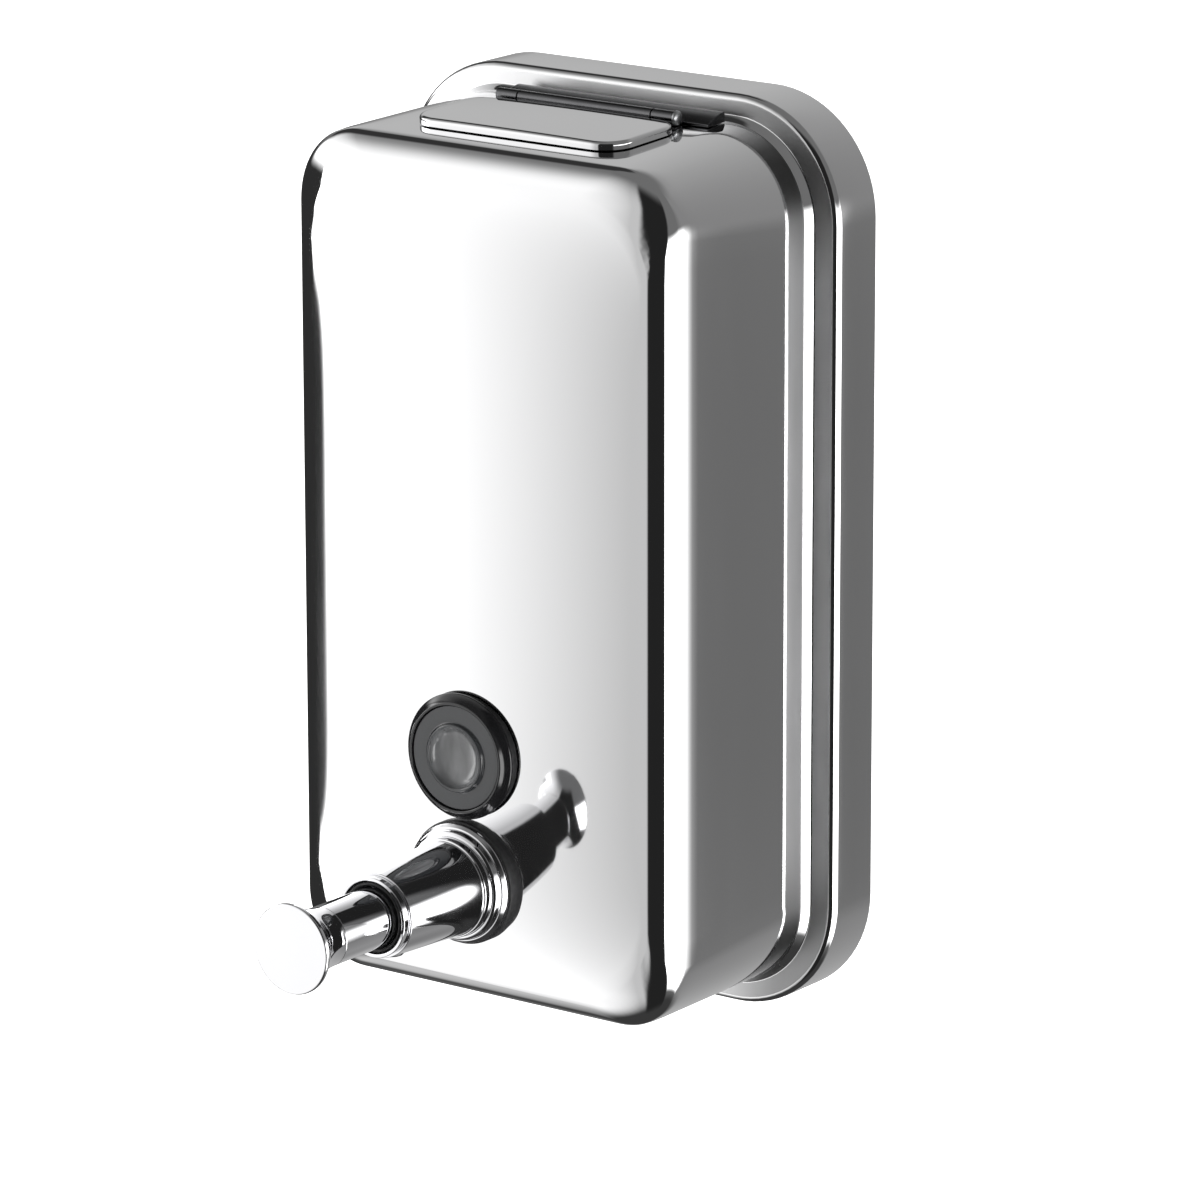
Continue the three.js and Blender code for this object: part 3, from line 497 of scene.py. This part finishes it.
def tray(half, corner, height, edge, fall, wall, crown=0.0, edge_steps=10):
    """A shallow pressing open at depth 0, with its front edge rolled over and a slight crown."""
    layers = []
    for offset in (0, wall):
        own = inset(half, offset)
        radius = corner - offset
        front = height - offset
        roll = edge - offset / 2
        drop = fall - offset / 2

        def face(x, z):
            return front - crown * ((x / half[0]) ** 2 + (z / half[1]) ** 2) / 2

        rings = [outline(own, radius, level(0))]
        for step in range(edge_steps + 1):
            turn = step / edge_steps * pi / 2
            inwards = roll * (1 - cos(turn))
            back = drop * (1 - sin(turn))
            depths = lambda x, z, back=back: face(x, z) - back
            rings.append(outline(inset(own, inwards), radius - inwards, depths))
        flat = inset(own, roll)
        for share in (0.92, 0.75, 0.5, 0.25, 0.0):
            size = (flat[0] * share, flat[1] * share)
            rings.append(outline(size, (radius - roll) * share, face))
        layers.append(rings)
    return pressing(layers[1][::-1] + layers[0])


def face_depth(x, z):
    """Depth of the crowned face: a parabola across, and nearly flat along with a fall at its ends."""
    across = max(0.0, 1 - (x / HALF_FACE[0]) ** 2)
    along = max(0.0, 1 - abs(z / HALF_FACE[1]) ** END_POWER)
    return TANK_DEPTH - CROWN_RISE * (1 - across * along)


def shell_layer(offset):
    """The tank's rings from the pan to the middle of its face: its outside, or its inside at an offset."""
    side_rings = 20
    edge_steps = 14
    half_tank = inset((HALF_TANK_X, HALF_TANK_Z), offset)
    rings = []
    side_start = PAN_DEPTH
    if not offset:
        side_start += FOOT_RISE
        for out, rise in FOOT_CURVE:
            foot = inset(half_tank, -out * MM)
            rings.append(outline(foot, REAR_CORNER + out * MM, level(PAN_DEPTH + rise * MM)))
    half_edge = inset(HALF_EDGE, offset)
    half_face = inset(HALF_FACE, offset)
    for step in range(side_rings):
        share = step / side_rings
        depth = mix(side_start, EDGE_START, share)
        ease = EASE * max(0, 1 - (EDGE_START - depth) / EASE_LENGTH) ** 2
        half = [mix(a, b, share) - ease for a, b in zip(half_tank, half_edge)]
        corner = mix(REAR_CORNER, FRONT_CORNER, share) - offset
        rings.append(outline(half, corner, level(depth)))
    for step in range(edge_steps + 1):
        turn = mix(EASE_TURN, EDGE_TURN, step / edge_steps)
        inwards = (cos(EASE_TURN) - cos(turn)) / (cos(EASE_TURN) - cos(EDGE_TURN))
        share = (sin(turn) - sin(EASE_TURN)) / (sin(EDGE_TURN) - sin(EASE_TURN))
        half = [mix(a - EASE, b - offset, inwards) for a, b in zip(half_edge, HALF_FACE)]
        corner = mix(FRONT_CORNER, FACE_CORNER, inwards) - offset
        depths = lambda x, z, share=share: mix(EDGE_START, face_depth(x, z), share) - offset * share
        rings.append(outline(half, corner, depths))
    face_corner = FACE_CORNER - offset
    for step in range(1, FACE_RINGS + 1):
        share = 1 - step / FACE_RINGS
        half = (half_face[0] * share, half_face[1] * share)
        rings.append(outline(half, face_corner * share, lambda x, z: face_depth(x, z) - offset))
    return rings


# ---- Turned pieces
def spun(profile, z, steps=96):
    """A piece turned about an axis square to the wall, at height z; its profile is (radius, depth) pairs."""
    bm = bmesh.new()
    verts = [bm.verts.new((radius, -depth, z)) for radius, depth in profile]
    edges = [bm.edges.new(pair) for pair in zip(verts, verts[1:])]
    bmesh.ops.spin(
        bm,
        geom=verts + edges,
        cent=(0, 0, z),
        axis=(0, 1, 0),
        angle=2 * pi,
        steps=steps,
        use_merge=True,
    )
    return bm


def arc(centre, radius, start, end, steps=6):
    """Points of a round corner in a profile, with angles in degrees from the outward direction."""
    angles = [radians(mix(start, end, step / steps)) for step in range(steps + 1)]
    return [(centre[0] + radius * cos(a), centre[1] + radius * sin(a)) for a in angles]


def closed(profile):
    return profile + profile[:1]


def block(low, high):
    bm = bmesh.new()
    size = [b - a for a, b in zip(low, high)]
    centre = [(a + b) / 2 for a, b in zip(low, high)]
    bmesh.ops.create_cube(bm, size=1, matrix=Matrix.Translation(centre) @ Matrix.Diagonal((*size, 1)))
    return bm


def rod_across(radius, start, end, y, z, segments=48):
    """A round bar along X."""
    bm = bmesh.new()
    turn = Matrix.Rotation(pi / 2, 4, "Y")
    bmesh.ops.create_cone(
        bm,
        cap_ends=True,
        segments=segments,
        radius1=radius,
        radius2=radius,
        depth=end - start,
        matrix=Matrix.Translation(((start + end) / 2, y, z)) @ turn,
    )
    return bm


# ---- Front shell and back pan
HINGE_FOOT = Matrix.Translation((0, -HINGE_DEPTH, tank_top(HINGE_DEPTH)))
LID_PLACE = HINGE_FOOT @ Matrix.Rotation(TOP_SLOPE, 4, "X")  # on the sloping top, under the hinge pin


LID_BACK = 2.6 * MM  # from the hinge pin forward to the lid's rear edge
LID_SETBACK = 7.8 * MM  # of its front edge, behind the tank's rounded edge
LID_LENGTH = EDGE_START - LID_SETBACK - HINGE_DEPTH - LID_BACK
LID_MIDDLE = -(LID_BACK + LID_LENGTH / 2)


def mouth_plug(low, high):
    """A plug of the filler opening's shape, square to the sloping top."""
    half = (LID_HALF_X - MOUTH_SIDE, LID_LENGTH / 2 - MOUTH_END)
    flat = [outline(half, MOUTH_CORNER, level(depth)) for depth in (low, high)]
    ends = [outline((0, 0), 0, level(depth)) for depth in (low, high)]
    bm = pressing([ends[0], flat[0], flat[1], ends[1]])
    place = LID_PLACE @ Matrix.Translation((0, LID_MIDDLE, 0)) @ Matrix.Rotation(-pi / 2, 4, "X")
    bmesh.ops.transform(bm, matrix=place, verts=bm.verts)
    return bm


def shank_cutter(radius, z):
    start, end = TANK_DEPTH / 2, 2 * TANK_DEPTH
    return spun([(0, start), (radius, start), (radius, end), (0, end)], z, 48)


SHANK_RADIUS = 10 * MM
SIGHT_SHANK = 8 * MM
HOLE_PLAY = 0.15 * MM

shell = pressing(shell_layer(SHEET)[::-1] + shell_layer(0))
shell = combine(shell, mouth_plug(-4 * SHEET, 4 * SHEET), "DIFFERENCE")
shell = combine(shell, shank_cutter(SHANK_RADIUS + HOLE_PLAY, VALVE_Z), "DIFFERENCE")
shell = combine(shell, shank_cutter(SIGHT_SHANK + HOLE_PLAY, SIGHT_Z), "DIFFERENCE")
piece_from(shell, "tank_shell", "front_shell")

pan = tray((HALF_PAN_X, HALF_PAN_Z), PAN_CORNER, PAN_DEPTH, PAN_EDGE, PAN_EDGE, SHEET)
piece_from(pan, "pan_pressing", "back_pan", "pressed_steel")

# ---- Lid and hinge
def on_top(bm):
    bmesh.ops.transform(bm, matrix=LID_PLACE, verts=bm.verts)
    return bm


def lid_plate():
    half = (LID_HALF_X, LID_LENGTH / 2)
    bm = tray(half, LID_CORNER, LID_HEIGHT - LID_LIFT, LID_ROLL, LID_FALL, LID_SHEET, LID_CROWN)
    turn = Matrix.Translation((0, LID_MIDDLE, LID_LIFT)) @ Matrix.Rotation(-pi / 2, 4, "X")
    bmesh.ops.transform(bm, matrix=turn, verts=bm.verts)
    return on_top(bm)


def lid_barrel():
    """The strip that runs back from the lid and rolls round the hinge pin."""
    top = LID_HEIGHT - STRIP_DROP
    low = (-HALF_BARREL, -LID_BACK - 2 * LID_SHEET, top - LID_SHEET)
    bm = block(low, (HALF_BARREL, 0, top))
    bm = combine(bm, rod_across(BARREL_RADIUS, -HALF_BARREL, HALF_BARREL, 0, HINGE_HEIGHT), "UNION")
    through = 1.2 * HALF_BARREL
    bore = rod_across(PIN_RADIUS + PLAY, -through, through, 0, HINGE_HEIGHT, 24)
    return on_top(combine(bm, bore, "DIFFERENCE"))


piece_from(lid_plate(), "lid_pressing", "lid")
# the lid's rolled strip is dark steel: painted shade for the hinge gap
soften(piece_from(lid_barrel(), "lid_roll", "lid", "dark_steel"), 0.12 * MM)

def hinge_leaf():
    """A leaf that rises towards the pan, with a knuckle at each end of the lid's barrel."""
    left, right = lowest("hinge_bracket").x, highest("hinge_bracket").x
    bm = bmesh.new()
    steps = 8
    places = [(LEAF_FRONT, LID_LIFT)]
    for step in range(steps + 1):
        share = step / steps
        rise = mix(LEAF_THIN, LEAF_THICK, sin(share * pi / 2))
        places.append((LEAF_FRONT + LEAF_DEPTH * share, LID_LIFT + rise))
    places.append((LEAF_FRONT + LEAF_DEPTH, LID_LIFT))
    section = bm.faces.new([bm.verts.new((left, y, z)) for y, z in places])
    swept = bmesh.ops.extrude_face_region(bm, geom=[section], use_keep_orig=True)["geom"]
    far = [item for item in swept if isinstance(item, bmesh.types.BMVert)]
    bmesh.ops.translate(bm, verts=far, vec=(right - left, 0, 0))
    for side in (-1, 1):
        near, end = sorted(side * reach for reach in KNUCKLES)
        web = block((near, 0, LID_LIFT), (end, LEAF_FRONT + LEAF_THIN, HINGE_HEIGHT))
        bm = combine(bm, web, "UNION")
        bm = combine(bm, rod_across(BARREL_RADIUS, near, end, 0, HINGE_HEIGHT), "UNION")
    bore = rod_across(PIN_RADIUS + PLAY, -LID_HALF_X, LID_HALF_X, 0, HINGE_HEIGHT, 24)
    return on_top(combine(bm, bore, "DIFFERENCE"))


# the hinge leaf is dark steel: painted shade where the gap behind the lid lies in shade
soften(piece_from(hinge_leaf(), "hinge_leaf", "hinge_bracket", "dark_steel"), 0.12 * MM)


def pin():
    """The hinge pin: a straight wire with a domed head at its right end."""
    end = highest("hinge_pin").x
    head = end - KNUCKLES[1]
    dome = arc((end - head / 2, 0), head / 2, 90, 0)
    left, under_head = -KNUCKLES[1], KNUCKLES[1] + PLAY
    profile = [(left, 0), (left, PIN_RADIUS), (under_head, PIN_RADIUS)]
    profile += [(under_head, PIN_HEAD_RADIUS), (end - head / 2, PIN_HEAD_RADIUS)]
    profile += [(along, PIN_HEAD_RADIUS * up / (head / 2)) for along, up in dome[1:]]
    bm = bmesh.new()
    verts = [bm.verts.new((along, out, HINGE_HEIGHT)) for along, out in profile]
    edges = [bm.edges.new(pair) for pair in zip(verts, verts[1:])]
    bmesh.ops.spin(
        bm,
        geom=verts + edges,
        cent=(0, 0, HINGE_HEIGHT),
        axis=(1, 0, 0),
        angle=2 * pi,
        steps=32,
        use_merge=True,
    )
    return on_top(bm)


piece_from(pin(), "hinge_wire", "hinge_pin")

# ---- Push valve: radii and distances in front of the tank's face, in millimetres
ROD_FIT = 3.58  # the bore that the plunger rod sits in
STEM = 6.7
STEM_BORE = 6.78
CONE_BORE = 8
NOSE = 31  # how far the cone reaches
LIP = 33  # and the bush in its nose
FLARE_START = 50
BUTTON_FACE = 61


def mm_profile(pairs):
    return [(radius * MM, TANK_DEPTH + depth * MM) for radius, depth in pairs]


def valve_body():
    profile = mm_profile(
        [
            (CONE_BORE, -14),
            (10, -14),
            (10, 1.5),
            (13.5, 1.5),
            (13.5, 2.3),
            (12.8, 3.1),
            (12.5, 3.1),
            (12.3, 4.5),
            (11.7, 4.9),
            (11.3, 4.9),
            (11.2, 6.9),
            (10.75, 7),
            (9.5, NOSE),
            (CONE_BORE, NOSE),
        ]
    )
    return spun(closed(profile), VALVE_Z)


soften(piece_from(valve_body(), "valve_cone", "valve_body", sharp=radians(20)), 0.14 * MM, angle=radians(20))


def nose_bush():
    outside = CONE_BORE - 0.08
    floor = NOSE + 0.8
    bore = [(STEM_BORE, floor), (STEM_BORE, 25)]
    profile = mm_profile(
        [bore[1], (outside, 25), (outside, NOSE), (9, NOSE), (9, LIP), (8.2, LIP), (8.2, floor), bore[0]]
    )
    return spun(closed(profile), VALVE_Z)


soften(piece_from(nose_bush(), "nose_lip", "nose_bush"), 0.15 * MM)


def stem():
    collar = [(ROD_FIT, 22.2), (7.6, 22.2), (7.6, 24.9), (STEM, 24.9)]
    profile = mm_profile(collar + [(STEM, FLARE_START), (ROD_FIT, FLARE_START)])
    return spun(closed(profile), VALVE_Z)


soften(piece_from(stem(), "stem_sleeve", "plunger_sleeve"), 0.1 * MM)


def button():
    flare_steps = 14
    flare = []
    for step in range(flare_steps + 1):
        share = step / flare_steps
        low = Vector((STEM, FLARE_START))
        pull = Vector((STEM, 56))
        high = Vector((10, 60))
        point = low.lerp(pull, share).lerp(pull.lerp(high, share), share)
        flare.append((point.x, point.y))
    profile = [(0, 56), (ROD_FIT, 56), (ROD_FIT, FLARE_START)] + flare
    profile += [(10, 60.75), (9.75, BUTTON_FACE), (0, BUTTON_FACE)]
    return spun(mm_profile(profile), VALVE_Z)


soften(piece_from(button(), "button_flare", "push_button"), 0.12 * MM)


# ---- Return spring, on a mesh of its own; the real spring shortens as the button goes in
SPRING_WIRE = 1 * MM
SPRING_TURNS = 6
SPRING_STEPS = 36  # in each turn


def coil():
    low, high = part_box("return_spring")
    mean_radius = (high.x - low.x - SPRING_WIRE) / 2
    rear, front = high.y - SPRING_WIRE / 2, low.y + SPRING_WIRE / 2
    steps = SPRING_TURNS * SPRING_STEPS
    bm = bmesh.new()
    start = Matrix.Translation((mean_radius, rear, VALVE_Z))
    bmesh.ops.create_circle(bm, cap_ends=False, segments=12, radius=SPRING_WIRE / 2, matrix=start)
    bmesh.ops.spin(
        bm,
        geom=bm.verts[:] + bm.edges[:],
        cent=(0, rear, VALVE_Z),
        axis=(0, 1, 0),
        dvec=(0, (front - rear) / steps, 0),
        angle=2 * pi * SPRING_TURNS,
        steps=steps,
    )
    bmesh.ops.holes_fill(bm, edges=[edge for edge in bm.edges if edge.is_boundary], sides=0)
    return bm


spring = piece_from(coil(), "coil_spring", "return_spring")
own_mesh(spring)


# ---- Rubber rings, cut to the crowned face
def face_ring(inner, outer, front, rounding, z):
    edge = arc((outer - rounding, front - rounding), rounding, 0, 90)
    profile = mm_profile([(inner, -6), (outer, -6)] + edge + [(inner, front)])
    ring = spun(closed(profile), z)
    behind = [outline((0, 0), 0, level(PAN_DEPTH))] + shell_layer(0)
    return combine(ring, pressing(behind), "DIFFERENCE")


piece_from(face_ring(10.15, 14, 1.5, 0.6, VALVE_Z), "valve_ring", "valve_gasket")
piece_from(face_ring(8.15, 13.7, 0.9, 0.3, SIGHT_Z), "sight_rubber", "sight_gasket")


def wiper():
    lip = arc((7.45, 32.45), 0.35, 0, 180, 8)
    return spun(closed(mm_profile([(STEM_BORE, 31.85), (8.12, 31.85)] + lip)), VALVE_Z)


piece_from(wiper(), "stem_wiper", "wiper_seal")


# ---- Sight glass
def sight_bezel():
    profile = mm_profile(
        [
            (8.15, 0.9),
            (14.2, 0.9),
            (14.2, 1.5),
            (13.35, 2.0),
            (12.45, 3.3),
            (11.85, 3.3),
            (11.85, 1.5),
            (8.15, 1.5),
        ]
    )
    return spun(closed(profile), SIGHT_Z)


soften(piece_from(sight_bezel(), "sight_ring", "sight_bezel"), 0.15 * MM)


def sight_lens():
    profile = mm_profile(
        [
            (0, -10),
            (6, -10),
            (6, -12),
            (8, -12),
            (8, 1.5),
            (11.7, 1.5),
            (11.7, 2.8),
            (7.9, 2.8),
            (7.5, 3.6),
            (6.9, 3.6),
            (6.6, 2.6),
            (6.1, 1.9),
            (5.2, 1.45),
            (3.6, 1.1),
            (0, 0.95),
        ]
    )
    return spun(profile, SIGHT_Z)


soften(piece_from(sight_lens(), "sight_window", "sight_lens"), 0.2 * MM)


# ---- Plain parts with their edges rounded
def rounded(node, name, width, look=None):
    """A welded copy of a plain part, its flat faces made whole and its edges rounded."""
    source = frame["nodes"][node]
    bm = bmesh.new()
    bm.from_mesh(source.data)
    bmesh.ops.transform(bm, matrix=source.matrix_world, verts=bm.verts)
    bmesh.ops.remove_doubles(bm, verts=bm.verts, dist=1e-3 * MM)
    bmesh.ops.dissolve_limit(bm, angle_limit=radians(1), verts=bm.verts, edges=bm.edges)
    return soften(piece_from(bm, name, node, look), width)


rounded("wall_bracket", "bracket_plate", 0.25 * MM)
rounded("hanger_strap", "hanger_plate", 0.25 * MM)
rounded("filler_frame", "filler_rim", 0.2 * MM)
rounded("lid_seal", "lid_gasket", 0.3 * MM)
rounded("outlet_nozzle", "soap_spout", 0.25 * MM)
rounded("retaining_screw", "locking_screw", 0.2 * MM)


# ---- Studio
def direction(azimuth, elevation):
    """Unit vector: azimuth 0 is straight out of the front and 90 to the right."""
    a, e = radians(azimuth), radians(elevation)
    return Vector((sin(a) * cos(e), -cos(a) * cos(e), sin(e)))


def staged(name, bm, material):
    mesh = bpy.data.meshes.new(name)
    bm.to_mesh(mesh)
    bm.free()
    mesh.materials.append(material)
    stand = bpy.data.objects.new(name, mesh)
    bpy.context.scene.collection.objects.link(stand)
    return stand


class Tent(Network):
    """A light tent round the object, with soft-edged panels set in degrees of azimuth and elevation."""

    def __init__(self, base):
        super().__init__("light_tent")
        self.nodes.remove(self.nodes["Principled BSDF"])
        unit = self.nodes.new("ShaderNodeVectorMath")
        unit.operation = "NORMALIZE"
        self.links.new(self.place, unit.inputs[0])
        x, y, z = self.split(unit.outputs["Vector"])
        self.front = self.degrees(self.math("ARCTAN2", x, self.math("MULTIPLY", y, -1)))
        self.rear = self.degrees(self.math("ARCTAN2", x, y))
        self.height = self.degrees(self.math("ARCSINE", z))
        self.light = base

    def degrees(self, angle):
        return self.math("MULTIPLY", angle, 180 / pi)

    def panel(self, light, sides, ends, behind=False):
        """Lays a panel over what is there. It fades in and out between each pair of its sides and ends."""
        around = self.rear if behind else self.front
        cover = self.math("MULTIPLY", self.ramp(around, *sides[:2]), self.ramp(around, *sides[:1:-1]))
        cover = self.math("MULTIPLY", cover, self.ramp(self.height, *ends[:2]))
        cover = self.math("MULTIPLY", cover, self.ramp(self.height, *ends[:1:-1]))
        blend = self.nodes.new("ShaderNodeMix")
        self.plug(blend.inputs["Factor"], cover)
        self.plug(blend.inputs["A"], self.light)
        self.plug(blend.inputs["B"], light)
        self.light = blend.outputs["Result"]

    def finish(self):
        glow = self.nodes.new("ShaderNodeEmission")
        out = self.nodes["Material Output"]
        self.plug(glow.inputs["Strength"], self.light)
        self.links.new(glow.outputs["Emission"], out.inputs["Surface"])
        bm = bmesh.new()
        bmesh.ops.create_uvsphere(bm, u_segments=64, v_segments=32, radius=TENT_RADIUS)
        bmesh.ops.reverse_faces(bm, faces=bm.faces)
        stand = staged("light_tent", bm, self.material)
        stand.visible_camera = False
        stand.visible_shadow = False
        return stand


TENT_RADIUS = 1.1
EVERYWHERE = (-200, -190, 190, 200)
tent = Tent(0.17)
# the light grey wall behind, darker towards the right and at the height of the middle
wall = tent.ramp(tent.rear, 42, -42, 0.155, 0.42, "LINEAR")
wall = tent.math("ADD", wall, tent.ramp(tent.height, -12, 6, 0, 0.1))
wall = tent.math("ADD", wall, tent.ramp(tent.height, -17, -32, 0, 0.08))
tent.panel(wall, (-66, -52, 50, 62), (-62, -45, 40, 60), behind=True)
# the dark floor
tent.panel(0.045, EVERYWHERE, (-200, -190, -62, -44))
# the dark gap above and behind on the left
tent.panel(0.035, (-140, -128, -100, -84), (24, 30, 70, 80))
# the dark side that the camera looks from
tent.panel(0.018, (-8, 4, 50, 60), (-75, -60, 38, 60))
# the white front-left window, fading to the right and upwards, and its brighter left half
fade = tent.ramp(tent.front, -40, -10, 1.3, 0.62, "LINEAR")
tent.panel(fade, (-100, -80, -4, 2), (-66, -44, 20, 62))
tent.panel(4.0, (-100, -85, -52, -44), (-30, -18, 12, 30))
# the dark strip at the left
tent.panel(0.03, (-150, -125, -59.5, -58), (-60, -40, 8, 20))
# the white window at the right
tent.panel(4.0, (54, 57, 127, 139), (-50, -38, -2, 12))
tent.finish()

floor_look = bpy.data.materials.new("pale_floor")
floor_look.use_nodes = True
floor_shader = floor_look.node_tree.nodes["Principled BSDF"]
floor_shader.inputs["Base Color"].default_value = (0.9, 0.9, 0.9, 1)
floor_shader.inputs["Emission Color"].default_value = (1, 1, 1, 1)
floor_shader.inputs["Emission Strength"].default_value = 1.0
FLOOR_HEIGHT = -1.3
FLOOR_SIZE = 60
floor_mesh = bmesh.new()
bmesh.ops.create_grid(
    floor_mesh,
    x_segments=1,
    y_segments=1,
    size=FLOOR_SIZE / 2,
    matrix=Matrix.Translation((0, 0, FLOOR_HEIGHT)),
)
floor = staged("pale_floor", floor_mesh, floor_look)
floor.visible_glossy = False

world = bpy.data.worlds.new("studio")
bpy.context.scene.world = world
world.use_nodes = True
world.node_tree.nodes["Background"].inputs["Color"].default_value = (1, 1, 1, 1)
world.node_tree.nodes["Background"].inputs["Strength"].default_value = 1.0
bpy.context.scene.view_settings.view_transform = "Standard"
bpy.context.scene.view_settings.look = "None"

# ---- Camera
CAMERA_DISTANCE = 1.592
CAMERA_SIDE = 35.9  # degrees round from the front
CAMERA_HEIGHT = 14.26  # degrees above the horizon
camera_data = bpy.data.cameras.new("camera")
camera_data.lens = 212.0
camera_data.sensor_width = 36
camera_data.shift_x = -0.0471
camera_data.shift_y = -0.0660
camera_data.clip_start = 0.05
camera_data.clip_end = 50
camera = bpy.data.objects.new("camera", camera_data)
bpy.context.scene.collection.objects.link(camera)
view_back = direction(CAMERA_SIDE, CAMERA_HEIGHT)
camera.location = view_back * CAMERA_DISTANCE
camera.rotation_euler = view_back.to_track_quat("Z", "Y").to_euler()
bpy.context.scene.camera = camera
